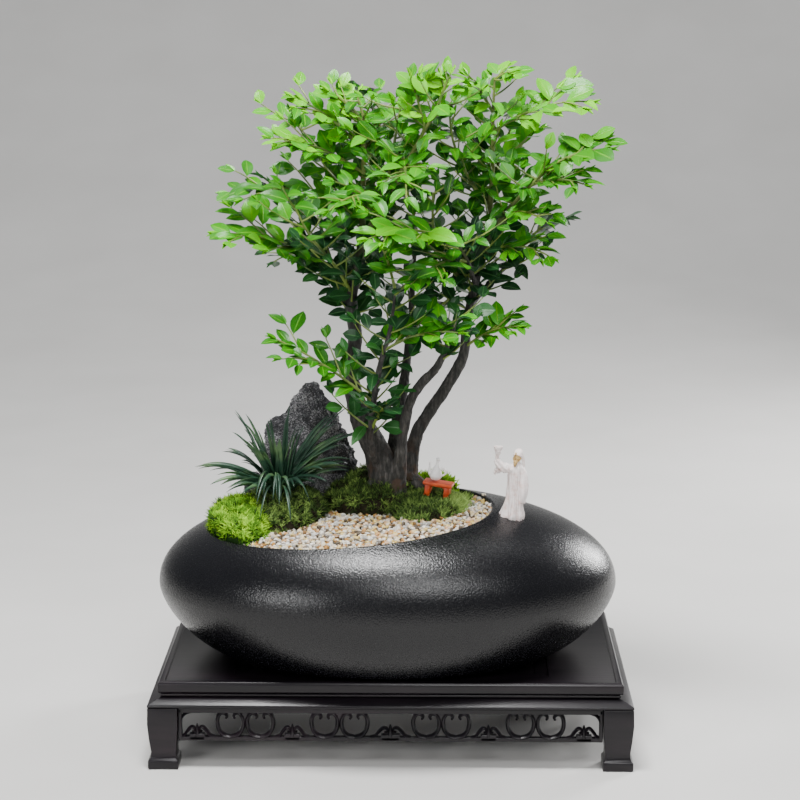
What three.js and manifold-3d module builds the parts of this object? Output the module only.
// Red sandalwood bonsai in a black pebble-shaped pot on a carved stand, planted with
// moss, gravel, a rock and grass, with a robed figurine, a low table and a jug.
// Millimetres, +Z up. The origin lies on the floor under the middle of the stand.
import * as THREE from 'three';
import { mergeVertices } from 'three/addons/utils/BufferGeometryUtils.js';
import Module from 'manifold-3d';

const wasm = await Module();
wasm.setup();

// Driving dimensions of the stand
const GAP = 0.3;
const FOOT_X = 184;
const FOOT_Y = 99;
const LEG_WIDTH = 23;
const APRON_TOP = 48.7;
const APRON_BOTTOM = 22;
const APRON_THICK = 6;
const MOULDING_TOP = 59;
const BOARD_X = 176;
const BOARD_Y = 94;
const BOARD_TOP = 68;
const FIELD_Z = 66.7;

// Driving dimensions of the pot: half lengths of its widest section and of its foot
const POT_MID_X = -4;
const POT_X = 180;
const POT_Y = 118;
const POT_FOOT_X = 122;
const POT_FOOT_Y = 84;
const POT_BASE = FIELD_Z + GAP;
const POT_WIDEST = 122;
const POT_CROWN = 71;
const POT_WALL = 7;
const TOP_ROUNDNESS = 2.15;
const FOOT_ROUNDNESS = 1.55;

// The opening is where this sloping plane cuts the pot: height at the pot's middle, and slopes
const OPENING_Z = 179.8;
const OPENING_SLOPE_X = 0.0795;
const OPENING_SLOPE_Y = 0.0743;
const SOIL_DROP = 6;
const SOIL_INSET = 0.7;
const GRAVEL_DROP = 3.2;
const MOSS_GAP = 0.55;

// Leaves and their stems
const LEAF_THICK = 1.1;
const LEAF_FOLD = 0.9;
const LEAF_SPACING = 14.5;
const SHORT_SPRAY = 46;
const CLEARANCE = 0.35;

// Small vector and number helpers
const V = (x, y, z) => new THREE.Vector3(x, y, z);
const lerp = THREE.MathUtils.lerp;
const turn = (share) => 2 * Math.PI * share;
const mix = (a, b, t) => a.clone().lerp(b, t);
const along = (start, ...steps) => {
  const end = start.clone();
  for (const [direction, distance] of steps) {
    end.addScaledVector(direction, distance);
  }
  return end;
};

// Repeatable draws between 0 and 1
function draws(seed) {
  let state = seed * 7919 + 11;
  return () => {
    state = (state * 16807) % 2147483647;
    return state / 2147483647;
  };
}

// A closed skin over rings of points, each ring with as many points, closed by two end points
function skin(rings, first, last) {
  const count = rings[0].length;
  const centre = (ring) => ring.reduce((sum, p) => sum.add(p), V(0, 0, 0)).divideScalar(count);
  const points = [...rings.flat(), first ?? centre(rings[0]), last ?? centre(rings.at(-1))];
  const start = points.length - 2;
  const end = points.length - 1;
  const top = (rings.length - 1) * count;
  const faces = [];
  for (let i = 0; i < count; i += 1) {
    const j = (i + 1) % count;
    faces.push([start, j, i], [top + i, top + j, end]);
    for (let r = 0; r < top; r += count) {
      faces.push([r + i, r + j, r + count + i], [r + j, r + count + j, r + count + i]);
    }
  }
  return closedShape(points, faces);
}

// A geometry from points and faces, turned so that its faces point out
function closedShape(points, faces) {
  let volume = 0;
  for (const [a, b, c] of faces) {
    volume += points[a].dot(points[b].clone().cross(points[c]));
  }
  const order = volume < 0 ? faces.map(([a, b, c]) => [a, c, b]) : faces;
  const shape = new THREE.BufferGeometry();
  shape.setAttribute('position', new THREE.Float32BufferAttribute(points.flatMap((p) => p.toArray()), 3));
  shape.setIndex(order.flat());
  return shape;
}

// Between three.js geometries and solids that can be joined and cut
function solid(shape) {
  const bare = shape.clone();
  bare.deleteAttribute('normal');
  bare.deleteAttribute('uv');
  const merged = mergeVertices(bare, 1e-4);
  return new wasm.Manifold(new wasm.Mesh({
    numProp: 3,
    vertProperties: Float32Array.from(merged.attributes.position.array),
    triVerts: Uint32Array.from(merged.index.array),
  }));
}

// Edges shorter than the tolerance, and points within it of a flat face, are merged
const TOLERANCE = 0.03;
function geometry(body) {
  const mesh = body.simplify(TOLERANCE).getMesh();
  const shape = new THREE.BufferGeometry();
  shape.setAttribute('position', new THREE.Float32BufferAttribute(mesh.vertProperties, 3));
  shape.setIndex(Array.from(mesh.triVerts));
  return shape;
}

const join = (bodies) => wasm.Manifold.union(bodies);
const largest = (body) => body.decompose().sort((a, b) => b.volume() - a.volume())[0];

// A tapering limb through hand-placed points, with a slightly uneven section
function limb(points, radii, sides, lumps = 0, extra = 0) {
  const curve = new THREE.CatmullRomCurve3(points);
  const steps = points.length - 1;
  let across = V(1, 0.3, 0.1);
  const rings = points.map((_, k) => {
    const direction = curve.getTangent(k / steps);
    across = across.clone().addScaledVector(direction, -across.dot(direction)).normalize();
    const other = direction.clone().cross(across);
    return Array.from({ length: sides }, (_, i) => {
      const angle = turn(i / sides);
      const uneven = 1 + lumps * Math.sin(3 * angle + 2.1 * k) + lumps * Math.sin(2 * angle + 1.3 * k);
      const radius = radii[k] * uneven + extra;
      const beyond = k === 0 ? -extra : (k === steps ? extra : 0);
      const round = [[across, radius * Math.cos(angle)], [other, radius * Math.sin(angle)]];
      return along(points[k], [direction, beyond], ...round);
    });
  });
  return skin(rings);
}

// Finishes: colour, roughness
const finish = (color, roughness) => new THREE.MeshStandardMaterial({ color, roughness, metalness: 0 });
const FINISHES = {
  lacquer: () => finish(0x241f27, 0.35),
  glaze: () => finish(0x1d1d21, 0.32),
  soil: () => finish(0x2b2018, 0.95),
  gravel: () => finish(0xd8cbb0, 0.7),
  mossBright: () => finish(0x8fb33a, 0.95),
  mossDark: () => finish(0x4f6f25, 0.95),
  rock: () => finish(0x3c3f44, 0.9),
  grass: () => finish(0x37573a, 0.6),
  bark: () => finish(0x4a4038, 0.9),
  leafBright: () => finish(0x5fb52e, 0.4),
  leafMid: () => finish(0x3f8f2f, 0.4),
  leafDark: () => finish(0x2b6136, 0.45),
  resin: () => finish(0xe6d8d6, 0.55),
  red: () => finish(0xb8431f, 0.5),
  porcelain: () => finish(0xefeeec, 0.25),
};

const bonsai = new THREE.Group();
function part(name, shape, look) {
  const mesh = new THREE.Mesh(shape, FINISHES[look]());
  mesh.name = name;
  bonsai.add(mesh);
  return mesh;
}

// Stand: steps of rectangles, each given by its half sizes and its height
function rectangleSteps(steps) {
  return skin(steps.map(([x, y, z]) => [V(x, y, z), V(-x, y, z), V(-x, -y, z), V(x, -y, z)]));
}

function standBoard() {
  const low = MOULDING_TOP + GAP;
  part('stand_board', rectangleSteps([
    [BOARD_X - 1, BOARD_Y - 1, low], [BOARD_X, BOARD_Y, low + 1], [BOARD_X, BOARD_Y, BOARD_TOP - 1.8],
    [BOARD_X - 1.2, BOARD_Y - 1.2, BOARD_TOP], [BOARD_X - 5, BOARD_Y - 5, BOARD_TOP],
    [BOARD_X - 5.5, BOARD_Y - 5.5, FIELD_Z], [120.5, 72.4, FIELD_Z], [120.2, 72.1, FIELD_Z - 1],
    [110.5, 62.5, FIELD_Z - 1], [110.2, 62.2, FIELD_Z - 2],
  ]), 'lacquer');
}

function standMoulding() {
  const low = APRON_TOP + GAP;
  part('stand_moulding', rectangleSteps([
    [FOOT_X - 0.6, FOOT_Y - 0.6, low], [FOOT_X, FOOT_Y, low + 1], [FOOT_X - 0.5, FOOT_Y - 0.5, low + 2.2],
    [FOOT_X - 6, FOOT_Y - 4, low + 5.2], [BOARD_X - 1.5, BOARD_Y - 1.5, low + 6.4],
    [BOARD_X - 3.5, BOARD_Y - 3.5, low + 7], [BOARD_X - 1.6, BOARD_Y - 1.6, low + 7.8],
    [BOARD_X - 1.6, BOARD_Y - 1.6, MOULDING_TOP - 0.8], [BOARD_X - 3, BOARD_Y - 3, MOULDING_TOP],
  ]), 'lacquer');
}

// A leg swells below the moulding, narrows above its foot pad and flares out again
function standLeg(name, sideX, sideY) {
  const steps = [[0, 0.6, 0], [1, 0, 0], [6.8, 0, 0], [8.6, 1.8, 1.6], [13, 2.4, 1.8], [24, 1, 0.8],
    [36, 0, 0], [APRON_TOP, 0.3, 0]];
  const rings = steps.map(([z, out, inside]) => {
    const x = [FOOT_X - out, FOOT_X - LEG_WIDTH + inside];
    const y = [FOOT_Y - out, FOOT_Y - LEG_WIDTH + inside];
    const corners = [[x[0], y[0]], [x[1], y[0]], [x[1], y[1]], [x[0], y[1]]];
    return corners.map(([u, v]) => V(sideX * u, sideY * v, z));
  });
  part(name, skin(rings), 'lacquer');
}

// Apron openings, in millimetres from the opening's middle and up from the apron's lower edge
const HEART = [[0, 4], [5.6, 8], [7, 15], [4.2, 21.8], [0, 18.2]];
const BAY = [[0, 9.6], [3.8, 5.4], [11, 5.8], [10.6, 14], [11.2, 21.8]];
const LOOP_STEP = 11.3;

function mirrored(points, midX, share) {
  const right = points.map(([x, y]) => [midX + x * share, y]);
  const left = points.filter(([x]) => x > 0).map(([x, y]) => [midX - x * share, y]).reverse();
  return new THREE.Path([...right, ...left].map(([x, y]) => new THREE.Vector2(x, y)));
}

function apronShape(halfLength, pairs, bays) {
  const height = APRON_TOP - APRON_BOTTOM;
  const outline = new THREE.Shape();
  outline.moveTo(-halfLength, height);
  outline.lineTo(-halfLength, 0.8);
  for (const pair of pairs) {
    outline.lineTo(pair - LOOP_STEP, 0);
    outline.lineTo(pair, 1.4);
    outline.lineTo(pair + LOOP_STEP, 0);
  }
  outline.lineTo(halfLength, 0.8);
  outline.lineTo(halfLength, height);
  for (const pair of pairs) {
    outline.holes.push(mirrored(HEART, pair - LOOP_STEP, 1), mirrored(HEART, pair + LOOP_STEP, 1));
  }
  for (const [middle, share] of bays) {
    outline.holes.push(mirrored(BAY, middle, share));
  }
  return new THREE.ExtrudeGeometry(outline, { depth: APRON_THICK, bevelEnabled: false });
}

function standAprons() {
  const inset = 3;
  const longHalf = FOOT_X - LEG_WIDTH - GAP;
  const shortHalf = FOOT_Y - LEG_WIDTH - GAP;
  const longPairs = [-110, -38.5, 38.5, 110];
  const longBays = [[-146.5, 1], [-74.3, 1], [0, 1.2], [74.3, 1], [146.5, 1]];
  const shortBays = [[-64, 0.62], [0, 1], [64, 0.62]];
  const long = apronShape(longHalf, longPairs, longBays);
  const short = apronShape(shortHalf, [-33.5, 33.5], shortBays);
  for (const [name, shape, angle, reach] of [
    ['stand_apron_front', long, 0, FOOT_Y], ['stand_apron_back', long, Math.PI, FOOT_Y],
    ['stand_apron_right', short, Math.PI / 2, FOOT_X], ['stand_apron_left', short, -Math.PI / 2, FOOT_X],
  ]) {
    const mesh = part(name, shape, 'lacquer');
    const upright = new THREE.Matrix4().makeRotationX(Math.PI / 2);
    const place = new THREE.Matrix4().makeTranslation(0, APRON_THICK - reach + inset, APRON_BOTTOM);
    const facing = new THREE.Matrix4().makeRotationZ(angle);
    facing.multiply(place).multiply(upright).decompose(mesh.position, mesh.quaternion, mesh.scale);
  }
}

// Pot: height of the upper shell at a share of the widest section, and the opening's plane
const shellTop = (share) => POT_WIDEST + POT_CROWN * (1 - share ** TOP_ROUNDNESS) ** (1 / TOP_ROUNDNESS);
const openingZ = (x, y) => OPENING_Z + OPENING_SLOPE_X * (x - POT_MID_X) + OPENING_SLOPE_Y * y;

function rimShare(angle) {
  let inner = 0;
  let outer = 1;
  for (let k = 0; k < 40; k += 1) {
    const middle = (inner + outer) / 2;
    const plane = openingZ(POT_MID_X + POT_X * middle * Math.cos(angle), POT_Y * middle * Math.sin(angle));
    if (shellTop(middle) > plane) {
      inner = middle;
    } else {
      outer = middle;
    }
  }
  return inner;
}

// A point at a share of the widest section, moved inwards by some millimetres
function potPoint(angle, share, z, inwards = 0) {
  const flat = V(POT_X * share * Math.cos(angle), POT_Y * share * Math.sin(angle), 0);
  flat.setLength(flat.length() - inwards);
  return V(POT_MID_X + flat.x, flat.y, z);
}

function footPoint(angle, swell, z, inwards = 0) {
  const halfX = lerp(POT_FOOT_X, POT_X, swell);
  const halfY = lerp(POT_FOOT_Y, POT_Y, swell);
  const flat = V(halfX * Math.cos(angle), halfY * Math.sin(angle), 0);
  flat.setLength(flat.length() - inwards);
  return V(POT_MID_X + flat.x, flat.y, z);
}

// Each angle's section runs from under the foot over the shell and the lip to the inner floor
function potSection(angle) {
  const rim = rimShare(angle);
  const rimZ = shellTop(rim);
  const under = [[2.5, 12], [0, 9], [0, 0]];
  const points = under.map(([lift, inwards]) => footPoint(angle, 0, POT_BASE + lift, inwards));
  for (let k = 1; k <= 4; k += 1) {
    const lift = turn(k / 16);
    const swell = Math.sin(lift) ** (2 / FOOT_ROUNDNESS);
    const rise = 1 - Math.cos(lift) ** (2 / FOOT_ROUNDNESS);
    points.push(footPoint(angle, swell, POT_BASE + (POT_WIDEST - POT_BASE) * rise));
  }
  const lastLift = Math.acos(rim ** (TOP_ROUNDNESS / 2));
  for (let k = 1; k <= 5; k += 1) {
    const share = Math.cos(lastLift * k / 5) ** (2 / TOP_ROUNDNESS);
    points.push(potPoint(angle, share, shellTop(share)));
  }
  points.push(potPoint(angle, rim, rimZ + 0.6, 2.6), potPoint(angle, rim, rimZ - 0.6, 5.4));
  return [...points, ...cavitySection(angle, 0)];
}

// The hollow's section, from the neck under the lip to the inner floor
function cavitySection(angle, inset) {
  const rim = rimShare(angle);
  const rimZ = shellTop(rim);
  const neck = [rimZ - 3.5, rimZ - 9 - inset];
  const points = neck.map((z) => potPoint(angle, rim, z, POT_WALL + inset));
  for (const step of [0.35, 0.7]) {
    const share = lerp(rim, 0.955, step);
    points.push(potPoint(angle, share, shellTop(share) - POT_WALL - 1 - inset, inset));
  }
  points.push(potPoint(angle, 0.955, shellTop(0.99) - POT_WALL, inset));
  points.push(footPoint(angle, 0.82, 97, POT_WALL + inset));
  points.push(footPoint(angle, 0.2, 80 + inset, POT_WALL + inset));
  return points;
}

const POT_SEGMENTS = 28;
const around = (count, section) => {
  const sections = Array.from({ length: count }, (_, i) => section(turn(i / count)));
  return sections[0].map((_, k) => sections.map((points) => points[k]));
};

const potMiddle = (z) => V(POT_MID_X, 0, z);
const pot = () => skin(around(POT_SEGMENTS, potSection), potMiddle(POT_BASE + 2.5), potMiddle(79));

// Soil fills the hollow up to a plane under the lip
function soilBody() {
  const rings = around(POT_SEGMENTS / 2, (angle) => {
    const neck = potPoint(angle, rimShare(angle), 0, POT_WALL + SOIL_INSET);
    const edge = V(neck.x, neck.y, openingZ(neck.x, neck.y) - SOIL_DROP);
    return [edge, ...cavitySection(angle, SOIL_INSET).slice(1)];
  });
  return solid(skin(rings, potMiddle(OPENING_Z - SOIL_DROP), potMiddle(79 + CLEARANCE)));
}

// The upright column inside the neck, which keeps moss and gravel off the lip
function neckColumn() {
  const outline = Array.from({ length: POT_SEGMENTS }, (_, i) => {
    const angle = turn(i / POT_SEGMENTS);
    return potPoint(angle, rimShare(angle), 0, POT_WALL + CLEARANCE);
  });
  const at = (z) => outline.map((p) => V(p.x, p.y, z));
  return solid(skin([at(120), at(260)]));
}

// Room for a piece that leans out over the rim: the neck, and all that lies above the opening
function roomOverPot(column) {
  const corners = [[-200, -200], [200, -200], [200, 200], [-200, 200]];
  const low = corners.map(([x, y]) => V(x, y, openingZ(x, y) + 1.5));
  const high = corners.map(([x, y]) => V(x, y, 400));
  return column.add(solid(skin([low, high])));
}

// A moss mound: middle, half sizes, height, bumps round and up, and a seed
const MOUNDS = {
  moss_left: { at: [-121, -13], half: [29, 48], height: 23, look: 'mossBright', seed: 3 },
  moss_middle: { at: [-88, 6], half: [36, 38], height: 25, look: 'mossDark', seed: 5 },
  moss_back: { at: [-16, 26], half: [38, 33], height: 28, look: 'mossDark', seed: 7 },
  moss_right: { at: [28, -1], half: [31, 31], height: 15, look: 'mossDark', seed: 9 },
  moss_small: { at: [33, 40], half: [24, 15], height: 19, look: 'mossBright', seed: 13 },
};

function moundBody({ at: [x, y], half: [halfX, halfY], height, seed }, grow) {
  const draw = draws(seed);
  const sides = 11;
  const levels = [0, 0.4, 0.76];
  const floor = (u, v) => openingZ(u, v) - SOIL_DROP + CLEARANCE;
  const rings = levels.map((level, k) => Array.from({ length: sides }, (_, i) => {
    const angle = turn((i + (k % 2) / 2) / sides);
    const bump = k === 0 ? 1 : 0.95 + 0.12 * draw();
    const spread = Math.sqrt(1 - level ** 2.2) * bump;
    const u = x + (halfX * spread + grow) * Math.cos(angle);
    const v = y + (halfY * spread + grow) * Math.sin(angle);
    return V(u, v, floor(u, v) - (k === 0 ? grow : 0) + (height * level * bump + (k === 0 ? 0 : grow)));
  }));
  return solid(skin(rings, V(x, y, floor(x, y) - grow), V(x, y, floor(x, y) + height + grow)));
}

// Gravel: a sheet whose points rise and fall in turn, a grain's width apart
const GRAIN = 8.8;
function gravelSheet() {
  const startX = -126;
  const startY = -84;
  const columns = 23;
  const rows = 13;
  const draw = draws(21);
  const grid = [];
  for (let j = 0; j <= rows; j += 1) {
    for (let i = 0; i <= columns; i += 1) {
      const x = startX + i * GRAIN + 1.2 * draw();
      const y = startY + j * GRAIN + 1.2 * draw();
      const rise = (i + j) % 2 === 0 ? 2.4 : 0;
      grid.push(V(x, y, openingZ(x, y) - GRAVEL_DROP - 1.2 + rise * (0.7 + 0.6 * draw())));
    }
  }
  const index = (i, j) => j * (columns + 1) + i;
  const faces = [];
  for (let j = 0; j < rows; j += 1) {
    for (let i = 0; i < columns; i += 1) {
      faces.push([index(i, j), index(i + 1, j), index(i, j + 1)]);
      faces.push([index(i + 1, j), index(i + 1, j + 1), index(i, j + 1)]);
    }
  }
  const edge = [];
  for (let i = 0; i < columns; i += 1) edge.push(index(i, 0));
  for (let j = 0; j < rows; j += 1) edge.push(index(columns, j));
  for (let i = columns; i > 0; i -= 1) edge.push(index(i, rows));
  for (let j = rows; j > 0; j -= 1) edge.push(index(0, j));
  const floor = (p) => V(p.x, p.y, openingZ(p.x, p.y) - SOIL_DROP + CLEARANCE);
  const below = grid.length;
  const points = [...grid, ...edge.map((k) => floor(grid[k])), floor(V(startX + 100, startY + 50, 0))];
  edge.forEach((k, i) => {
    const next = (i + 1) % edge.length;
    faces.push([k, below + i, edge[next]], [edge[next], below + i, below + next]);
    faces.push([below + i, points.length - 1, below + next]);
  });
  return solid(closedShape(points, faces));
}

// Rock: uneven rings that lean and narrow to a blunt peak
function rockBody(levels, depth, seed, sides) {
  const draw = draws(seed);
  const rings = levels.map(([z, left, right, midY]) => Array.from({ length: sides }, (_, i) => {
    const angle = turn(i / sides);
    const rough = 0.86 + 0.22 * draw();
    const half = (right - left) / 2;
    const x = (left + right) / 2 + half * rough * Math.cos(angle);
    return V(x, midY + depth * (half / 40) ** 0.5 * rough * Math.sin(angle), z + 2.4 * (draw() - 0.5));
  }));
  return solid(skin(rings));
}
const ROCK_LEVELS = [[176, -100, -36, 47], [190, -106, -28, 47], [207, -104, -28, 46], [222, -106, -33, 47],
  [236, -104, -39, 50], [247, -88, -45, 51], [260, -80, -53, 51], [270, -71, -61, 50]];
const STONE_LEVELS = [[176, -118, -103, 30], [186, -120, -101, 30], [196, -118, -103, 31],
  [201, -114, -107, 31]];

// A body made a little wider and longer about a middle, and sunk by the clearance
function widened(body, middle, wider, longer) {
  const { x, y } = middle;
  return body.translate([-x, -y, 0]).scale([wider, longer, 1]).translate([x, y, -CLEARANCE]);
}

// Mondo grass: arching blades from one crown, each with a three-sided section
const GRASS_ROOT = V(-89, 8, 195);
const GRASS_TIPS = [[-124, 6, 256], [-116, 20, 251], [-122, -12, 243], [-131, 26, 222], [-153, -10, 215],
  [-141, -18, 203], [-128, -32, 200], [-81, 12, 260], [-94, -18, 256], [-110, -27, 240], [-44, 14, 254],
  [-37, 2, 240], [-32, -20, 224], [-34, 8, 211], [-58, -36, 208], [-77, -44, 180], [-101, -44, 182],
  [-70, -6, 248]];

function grassBlade(tip, k) {
  const reach = tip.clone().sub(GRASS_ROOT);
  const lift = Math.max(14, 0.28 * Math.hypot(reach.x, reach.y));
  const out = V(reach.x, reach.y, 0).normalize();
  const root = along(GRASS_ROOT, [out, 2.6], [V(0, 0, 1), (k % 3) - 1.5]);
  const crest = mix(root, tip, 0.55).add(V(0, 0, lift));
  const curve = new THREE.QuadraticBezierCurve3(root, crest, tip);
  const across = V(-out.y, out.x, 0);
  const rings = [[0, 1.6], [0.42, 2], [0.82, 1.2]].map(([t, half]) => {
    const p = curve.getPoint(t);
    const up = curve.getTangent(t).cross(across).negate();
    return [along(p, [across, half]), along(p, [across, -half]), along(p, [up, -0.9])];
  });
  return skin(rings, undefined, tip);
}

function grassBody() {
  const crown = limb([V(-89, 8, 172), V(-89, 8, 190), V(-89, 8, 199)], [5, 6, 3.5], 6);
  return join([crown, ...GRASS_TIPS.map((tip, k) => grassBlade(V(...tip), k))].map(solid));
}

// Woody limbs: hand-placed points and radii from the root upwards
const LIMBS = [
  {
    sides: 6,
    radii: [11, 13.5, 11, 8.8, 6.4, 5.4, 4.6, 3.4, 2.4, 1.5, 1.1],
    points: [[-2, 22, 168], [-5, 20, 195], [-12, 17, 221], [-24, 12, 247], [-32, 8, 281],
      [-29, 8, 316], [-32, 12, 343], [-25, 18, 382], [-23, 20, 428], [-22, 20, 478], [-27, 20, 499]],
  },
  {
    sides: 5,
    radii: [3.4, 2.7, 2, 1.3],
    points: [[-29, 9, 327], [-41, 30, 348], [-52, 50, 376], [-60, 68, 400]],
  },
  {
    sides: 5,
    radii: [2.6, 2.2, 1.8, 1.4, 1.1],
    points: [[-25, 18, 386], [-8, 5, 418], [10, -4, 450], [25, -8, 477], [35, -10, 496]],
  },
  {
    sides: 5,
    radii: [1.9, 1.5, 1.1],
    points: [[-23, 20, 447], [-17, 45, 472], [-11, 62, 488]],
  },
  {
    sides: 6,
    radii: [8, 6.2, 5, 4, 3.1, 2.3, 1.4],
    points: [[0, 26, 180], [1, 33, 219], [4, 46, 245], [9, 58, 275], [13, 68, 310], [15, 76, 349],
      [18, 82, 391]],
  },
  {
    sides: 6,
    radii: [7, 4.6, 4, 3.8, 3.2, 2.3, 1.4],
    points: [[4, 14, 185], [7, 8, 228], [13, 1, 262], [22, -4, 280], [34, -9, 294], [43, -15, 314],
      [49, -22, 335]],
  },
  {
    sides: 6,
    radii: [9, 5.8, 5, 4.8, 4.5, 3.9, 3.3, 2.9, 2.5, 2, 1.4, 1],
    points: [[9, 26, 178], [17, 27, 228], [28, 29, 250], [42, 31, 271], [55, 33, 295], [58, 35, 320],
      [63, 35, 348], [71, 33, 377], [75, 31, 410], [77, 29, 444], [77, 27, 485], [78, 26, 512]],
  },
  {
    sides: 5,
    radii: [2.6, 2.1, 1.6, 1.1],
    points: [[61, 35, 336], [77, 56, 351], [95, 74, 366], [107, 84, 381]],
  },
  {
    sides: 5,
    radii: [2.3, 1.9, 1.5, 1.1],
    points: [[73, 32, 386], [87, 20, 410], [105, 8, 432], [121, 0, 449]],
  },
  {
    sides: 5,
    radii: [2.1, 1.6, 1.1],
    points: [[64, 34, 354], [58, 10, 374], [50, -12, 391]],
  },
  {
    sides: 5,
    radii: [1.9, 1.5, 1.1],
    points: [[76, 30, 427], [83, 52, 448], [90, 70, 466]],
  },
  {
    sides: 5,
    radii: [4, 3, 2.6, 2.2, 1.7, 1.1],
    points: [[-11, 14, 205], [-17, -6, 236], [-14, -16, 268], [-9, -24, 299], [-1, -32, 328],
      [3, -38, 359]],
  },
];

const woodBody = (extra) => join(LIMBS.map(({ points, radii, sides }) => (
  solid(limb(points.map((p) => V(...p)), radii, sides, 0.07, extra)))));

// Leafy sprays: start on a limb, tip, rise of the middle, leaf length, look
const SPRAYS = {
  spray_left_top: [[-23, 20, 459], [-81, 10, 504], 10, 19, 'leafBright'],
  spray_left_upper: [[-24, 20, 442], [-98, -8, 473], 12, 20, 'leafBright'],
  spray_left_middle: [[-25, 19, 411], [-138, 16, 428], 20, 21, 'leafMid'],
  spray_left_lower: [[-47, 42, 364], [-142, -5, 400], 16, 22, 'leafBright'],
  spray_left_back: [[-59, 66, 397], [-114, 88, 425], 10, 20, 'leafDark'],
  spray_left_back_low: [[-50, 48, 372], [-102, 88, 362], 12, 20, 'leafDark'],
  spray_crown_left: [[-22, 20, 478], [-51, 12, 517], 6, 17, 'leafBright'],
  spray_crown_top: [[-27, 20, 499], [-33, 34, 525], 2, 16, 'leafBright'],
  spray_crown_middle: [[25, -8, 477], [13, -14, 520], 4, 18, 'leafBright'],
  spray_crown_inner: [[35, -10, 496], [45, -6, 527], 2, 17, 'leafBright'],
  spray_leader_tip: [[78, 26, 512], [93, 16, 526], 4, 17, 'leafBright'],
  spray_leader_left: [[77, 27, 487], [56, 12, 519], 4, 19, 'leafBright'],
  spray_right_top: [[77, 27, 472], [155, 14, 499], 14, 21, 'leafBright'],
  spray_right_upper: [[121, 0, 449], [164, -12, 464], 6, 22, 'leafMid'],
  spray_right_outer: [[106, 8, 433], [148, -28, 438], 8, 20, 'leafMid'],
  spray_right_shoulder: [[88, 20, 410], [121, -16, 407], 8, 20, 'leafMid'],
  spray_right_middle: [[71, 33, 377], [126, 2, 379], 14, 20, 'leafBright'],
  spray_right_back: [[107, 84, 381], [140, 92, 399], 6, 20, 'leafDark'],
  spray_right_lower: [[56, 33, 302], [102, 4, 326], 10, 20, 'leafBright'],
  spray_low_front: [[-7, -27, 310], [56, -54, 331], 12, 21, 'leafBright'],
  spray_low_left: [[-14, -16, 268], [-96, -24, 324], 8, 20, 'leafMid'],
  spray_front_left: [[50, -12, 391], [-24, -66, 402], 16, 22, 'leafBright'],
  spray_front_middle: [[58, 10, 374], [10, -70, 366], 14, 20, 'leafMid'],
  spray_shoot_tip: [[3, -38, 359], [-8, -66, 400], 6, 18, 'leafMid'],
  spray_shoot_low: [[-16, -9, 245], [-2, -44, 276], 4, 18, 'leafDark'],
  spray_centre_front: [[9, -4, 448], [12, -78, 430], 16, 19, 'leafMid'],
  spray_centre_left: [[-7, 5, 420], [-50, -62, 421], 16, 19, 'leafMid'],
  spray_back_top: [[18, 82, 391], [4, 94, 442], 4, 20, 'leafDark'],
  spray_back_middle: [[15, 76, 349], [-38, 92, 364], 8, 20, 'leafDark'],
  spray_back_low: [[13, 68, 310], [60, 90, 334], 8, 20, 'leafDark'],
  spray_back_crown: [[-11, 62, 488], [-34, 90, 502], 6, 18, 'leafDark'],
  spray_back_upper: [[90, 70, 466], [112, 90, 486], 6, 19, 'leafDark'],
  spray_back_inner: [[83, 52, 448], [40, 88, 466], 8, 19, 'leafDark'],
};

// Each spray's stems: the main one, bent twice, and one or two straight side twigs
function sprayStems([start, tip, rise], k) {
  const from = V(...start);
  const to = V(...tip);
  const length = from.distanceTo(to);
  const facing = V(0, tip[1] > 60 ? 0.45 : -0.5, 0.85).normalize();
  const arc = new THREE.QuadraticBezierCurve3(from, mix(from, to, 0.5).add(V(0, 0, rise)), to);
  const points = [0, 1, 2, 3].map((step) => arc.getPoint(step / 3));
  const main = { points, radii: [1.5, 1.3, 1.1, 0.8], length, facing, twig: false };
  const places = length < SHORT_SPRAY ? [[0.5, 1]] : [[0.36, 1], [0.62, -1]];
  const twigs = places.map(([place, side]) => {
    const { at, direction } = onStem(main, place);
    const across = direction.clone().cross(facing).normalize();
    const turnSide = k % 2 === 0 ? side : -side;
    const heading = direction.clone().multiplyScalar(0.74);
    heading.addScaledVector(across, 0.66 * turnSide).normalize();
    const reach = 0.36 * length;
    const end = along(at, [heading, reach], [facing, 0.1 * reach]);
    return { points: [at, end], radii: [1.1, 0.7], length: reach, facing, twig: true };
  });
  return [main, ...twigs];
}

// The point and direction at a share of a stem's length
function onStem({ points }, share) {
  const steps = points.length - 1;
  const k = Math.min(steps - 1, Math.floor(share * steps));
  const direction = points[k + 1].clone().sub(points[k]).normalize();
  return { at: mix(points[k], points[k + 1], share * steps - k), direction };
}

const stemShape = ({ points, radii }, extra = 0) => limb(points, radii, 3, 0, extra);

// A leaf blade: pointed at both ends, folded on its midrib, thickest there
function leafShape({ root, heading, face, length }, thicker = 0) {
  const across = heading.clone().cross(face).normalize();
  const up = across.clone().cross(heading);
  const width = 0.48 * length;
  const spot = (t, side, lift) => along(root, [heading, t * length], [across, side * width],
    [up, lift - 0.1 * length * t * t + LEAF_FOLD * 2 * Math.abs(side)]);
  const half = LEAF_THICK / 2 + thicker;
  const edge = [[0, 0], [0.32, 0.5], [0.66, 0.44], [1, 0], [0.66, -0.44], [0.32, -0.5]];
  const outline = edge.map(([t, side]) => spot(t, side, 0));
  const faces = outline.flatMap((_, i) => {
    const next = (i + 1) % outline.length;
    return [[i, next, outline.length], [next, i, outline.length + 1]];
  });
  return closedShape([...outline, spot(0.46, 0, half), spot(0.46, 0, -half)], faces);
}

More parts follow.
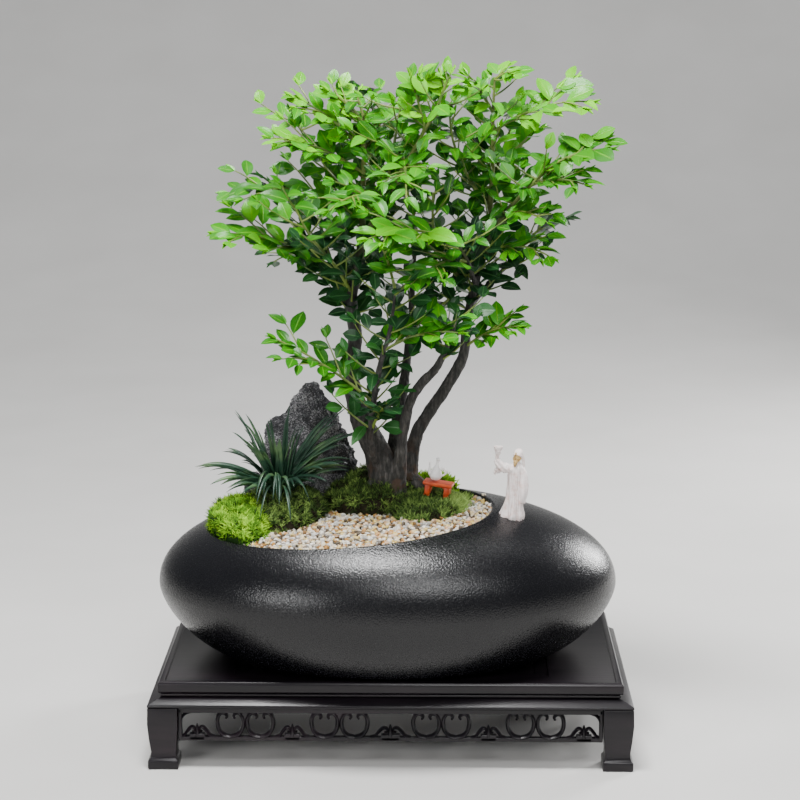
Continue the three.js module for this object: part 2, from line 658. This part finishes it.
// Leaves stand in two rows along a stem and one closes its tip
function stemLeaves(stem, leafLength, draw) {
  const { length, facing, twig } = stem;
  const count = Math.max(twig ? 1 : 3, Math.round((length - (twig ? 14 : 16)) / LEAF_SPACING));
  const first = twig ? 0.42 : 0.24;
  const leaves = [];
  for (let k = 0; k <= count; k += 1) {
    const place = k === count ? 1 : lerp(first, 0.94, k / count);
    const { at, direction } = onStem(stem, place);
    const across = direction.clone().cross(facing).normalize();
    const side = k % 2 === 0 ? 1 : -1;
    const open = k === count ? 0.12 : 0.85 + 0.25 * draw();
    const heading = direction.clone().multiplyScalar(Math.cos(open));
    heading.addScaledVector(across, side * Math.sin(open));
    heading.addScaledVector(facing, 0.3 * draw() - 0.12).normalize();
    const face = facing.clone().addScaledVector(across, side * (0.25 * draw())).normalize();
    leaves.push({ root: at, heading, face, length: leafLength * (0.86 + 0.26 * draw()) });
  }
  return leaves;
}

// A collection of bodies that new ones have to stay clear of
class Occupied {
  constructor() {
    this.bodies = [];
  }

  add(body) {
    const { min, max } = body.boundingBox();
    this.bodies.push({ body, min, max });
  }

  touches(body) {
    const { min, max } = body.boundingBox();
    return this.bodies.some((other) => {
      const near = [0, 1, 2].every((i) => min[i] < other.max[i] && max[i] > other.min[i]);
      return near && body.intersect(other.body).volume() > 1e-6;
    });
  }
}

// Leaves that would cross anything are swung aside in steps, or left out
const SWINGS = [0, 0.35, -0.35, 0.7, -0.7];
function placeLeaf(leaf, taken) {
  for (const swing of SWINGS) {
    const heading = leaf.heading.clone().addScaledVector(leaf.face, swing).normalize();
    const tried = { ...leaf, heading };
    const probe = { ...tried, root: along(leaf.root, [heading, 1.6]), length: leaf.length - 0.8 };
    const guard = solid(leafShape(probe, CLEARANCE));
    if (!taken.touches(guard)) {
      taken.add(solid(leafShape(probe)));
      return solid(leafShape(tried));
    }
  }
  return null;
}

function leafySprays(grownWood, neighbours) {
  const taken = new Occupied();
  [grownWood, ...neighbours].forEach((body) => taken.add(body));
  const names = Object.keys(SPRAYS);
  const bodies = names.map((name, k) => {
    const stems = sprayStems(SPRAYS[name], k);
    const kept = stems.filter((stem) => {
      if (!stem.twig) {
        return true;
      }
      const away = { points: [onStem(stem, 0.2).at, stem.points[1]], radii: stem.radii };
      return !taken.touches(solid(stemShape(away, CLEARANCE + 0.2)));
    });
    const shapes = kept.map((stem) => solid(stemShape(stem)));
    shapes.forEach((shape) => taken.add(shape.subtract(grownWood)));
    return { name, kept, shapes, seed: k + 1 };
  });
  for (const { name, kept, shapes, seed } of bodies) {
    const draw = draws(seed);
    const [, , , leafLength, look] = SPRAYS[name];
    for (const stem of kept) {
      for (const leaf of stemLeaves(stem, leafLength, draw)) {
        const body = placeLeaf(leaf, taken);
        if (body) {
          shapes.push(body);
        }
      }
    }
    part(name, geometry(largest(join(shapes).subtract(grownWood))), look);
  }
}

// Figurine: robe rings, a raised sleeve with a cup, a hanging sleeve, head, hat and beard
const FIGURE_AT = V(92, -29, 181.2);
const HEAD_AT = V(4.6, -0.4, 46.4);

function ovalRings(levels, sides, waves = 0) {
  return levels.map(([z, x, y, halfX, halfY]) => Array.from({ length: sides }, (_, i) => {
    const angle = turn(i / sides);
    const wave = 1 + waves * Math.max(0, 1 - z / 22) * Math.cos(5 * angle);
    return V(x + halfX * wave * Math.cos(angle), y + halfY * wave * Math.sin(angle), z);
  }));
}

function figurineBody() {
  const robeLevels = [[-4, 0.2, 0, 8.8, 6.4], [1.4, 0.3, 0, 9.2, 6.8], [5, 0.8, 0, 8.4, 6],
    [14, 2, 0, 6.8, 5], [26, 2.9, 0, 5.9, 4.5], [39, 3.4, 0, 6.2, 4], [41.6, 3.8, 0, 4.4, 3.2],
    [43.6, 4.3, 0, 2, 2]];
  const robe = skin(ovalRings(robeLevels, 10, 0.09));
  const raisedArm = [V(2, -0.5, 38), V(-5, -1.6, 38.6), V(-10.6, -2.6, 42.6), V(-11.4, -3, 47.6)];
  const raisedSleeve = limb(raisedArm, [3.4, 4.4, 3.6, 1.5], 6);
  const cuff = skin([[V(-14.8, -4, 35), V(-9, -4.4, 33.6), V(-9, -0.8, 33.6), V(-14.8, -0.8, 35)],
    [V(-13.4, -4, 41), V(-7, -4, 42), V(-7, -1, 42), V(-13.4, -1, 41)]]);
  const hand = limb([V(-11.3, -3, 46.6), V(-11, -3.2, 49.4), V(-10.6, -3.3, 51.4)], [1.3, 1.7, 1.2], 5);
  const cupLevels = [[50.6, -10.4, -3.4, 1.6, 1.6], [52.4, -10.4, -3.4, 3, 2.6],
    [56.4, -10.4, -3.4, 3.6, 3]];
  const cup = skin(ovalRings(cupLevels, 8));
  const lowArm = [V(8, -0.4, 37), V(9.6, -1.8, 28), V(9.4, -2.8, 19), V(8.6, -2.8, 11.5)];
  const lowSleeve = limb(lowArm, [3, 3.4, 3.4, 2.4], 6);
  const head = new THREE.SphereGeometry(3.5, 8, 6);
  head.rotateX(Math.PI / 2);
  head.scale(0.92, 1, 1.15);
  head.translate(...HEAD_AT.toArray());
  const nose = limb([V(3.6, -3.4, 47.2), V(3.2, -4.4, 45.9), V(3.4, -3.2, 45.4)], [0.35, 0.6, 0.5], 4);
  const beard = limb([V(3.8, -2.8, 44.6), V(3.3, -3.6, 42.4), V(3.2, -3.4, 39.4)], [2, 1.6, 0.5], 6);
  const hatLevels = [[46.6, 5.6, 0.8, 3.8, 3.6], [49.2, 5.2, 0.4, 4.2, 4.2], [52, 6, 0.6, 3.4, 3.4],
    [53.8, 6.6, 0.8, 1.8, 1.8]];
  const hat = skin(ovalRings(hatLevels, 8));
  const scarf = limb([V(8.4, 1.2, 49), V(9.8, 1.4, 43), V(10.2, 1.2, 37.2)], [1.8, 1.3, 0.9], 5);
  const pieces = [robe, raisedSleeve, cuff, hand, cup, lowSleeve, head, nose, beard, hat, scarf];
  const figure = join(pieces.map(solid)).translate(FIGURE_AT.toArray());
  return largest(figure.subtract(solid(pot()).translate([0, 0, GAP])));
}

// Low table with two slab legs, turned and tilted a little on the moss
const TABLE_AT = V(35, 6, 188.5);
const JUG_AT = V(33.2, 6.4, 201.6);

function tableBody(grow) {
  const top = new THREE.BoxGeometry(23, 13, 2.2).translate(0, 0, 10.7);
  const rail = new THREE.BoxGeometry(15, 2, 2.4).translate(0, 0, 8.6);
  const legEnds = [[10.2, 5.4, 5.4, -grow], [9.4, 5.8, 5.8, 10]];
  const legs = [-1, 1].map((side) => skin(legEnds.map(([out, inner, y, z]) => {
    const x = [side * (out + grow), side * (inner - grow)];
    return [V(x[0], y + grow, z), V(x[1], y + grow, z), V(x[1], -y - grow, z), V(x[0], -y - grow, z)];
  })));
  const tilt = new THREE.Matrix4().makeRotationFromEuler(new THREE.Euler(0, 0.12, -0.2, 'ZYX'));
  tilt.setPosition(TABLE_AT);
  const table = geometry(join([top, rail, ...legs].map(solid)));
  return solid(table.applyMatrix4(tilt));
}

function jugBody() {
  const profile = [[0, 0], [3.2, 0], [5, 3], [4.8, 6], [3, 9.4], [1.5, 12.4], [1.3, 15.6], [1.7, 17.4],
    [0, 17.8]].map(([radius, z]) => new THREE.Vector2(radius, z));
  const body = new THREE.LatheGeometry(profile, 10).rotateX(Math.PI / 2);
  const spout = limb([V(-3, 0, 3.6), V(-5.4, 0, 7.4), V(-5.9, 0, 13)], [1.4, 1.1, 0.8], 6);
  const handle = new THREE.TorusGeometry(2.2, 0.7, 5, 9).rotateX(Math.PI / 2).translate(5.4, 0, 7);
  const lean = new THREE.Matrix4().makeRotationY(0.16).setPosition(JUG_AT);
  const jug = geometry(join([body, spout, handle].map(solid)));
  return solid(jug.applyMatrix4(lean));
}

// Planting: each piece stands in plain holes of what is under it
function planting(grownWood) {
  const column = neckColumn();
  const room = roomOverPot(column);
  const rock = rockBody(ROCK_LEVELS, 15, 31, 11).intersect(room);
  const stone = rockBody(STONE_LEVELS, 11, 37, 8).intersect(room);
  const grownRock = widened(rockBody(ROCK_LEVELS, 15, 31, 11), V(-66, 47, 0), 1.014, 1.045);
  const grownStone = widened(rockBody(STONE_LEVELS, 11, 37, 8), V(-110, 30, 0), 1.07, 1.09);
  const grassFoot = [V(-89, 8, 172), V(-89, 8, 190), V(-89, 8, 202)];
  const stems = join([grownWood, solid(limb(grassFoot, [5, 6, 5], 6, 0, 0.4))]);
  const grass = grassBody();
  const table = tableBody(0);
  const jug = jugBody();
  const figurine = figurineBody();
  const soil = soilBody().subtract(join([stems, grownRock, grownStone]));
  part('soil', geometry(largest(soil)), 'soil');
  const placed = [stems, grownRock, grownStone, tableBody(CLEARANCE)];
  for (const [name, mound] of Object.entries(MOUNDS)) {
    const body = largest(moundBody(mound, 0).intersect(column).subtract(join(placed)));
    part(name, geometry(body), mound.look);
    placed.push(moundBody(mound, MOSS_GAP));
  }
  const gravel = gravelSheet().intersect(column).subtract(join(placed));
  part('gravel', geometry(largest(gravel)), 'gravel');
  part('rock', geometry(largest(rock)), 'rock');
  part('small_stone', geometry(largest(stone)), 'rock');
  part('mondo_grass', geometry(largest(grass)), 'grass');
  part('low_table', geometry(table), 'red');
  part('jug', geometry(jug), 'porcelain');
  part('figurine', geometry(figurine), 'resin');
  return { rock, grass };
}

standBoard();
standMoulding();
for (const [end, sideY] of [['front', -1], ['back', 1]]) {
  for (const [hand, sideX] of [['left', -1], ['right', 1]]) {
    standLeg(`stand_leg_${end}_${hand}`, sideX, sideY);
  }
}
standAprons();
part('pot', pot(), 'glaze');
const wood = woodBody(0);
const grownWood = woodBody(CLEARANCE);
const { rock, grass } = planting(grownWood);
part('tree_wood', geometry(largest(wood)), 'bark');
leafySprays(grownWood, [rock, grass]);

export default bonsai;
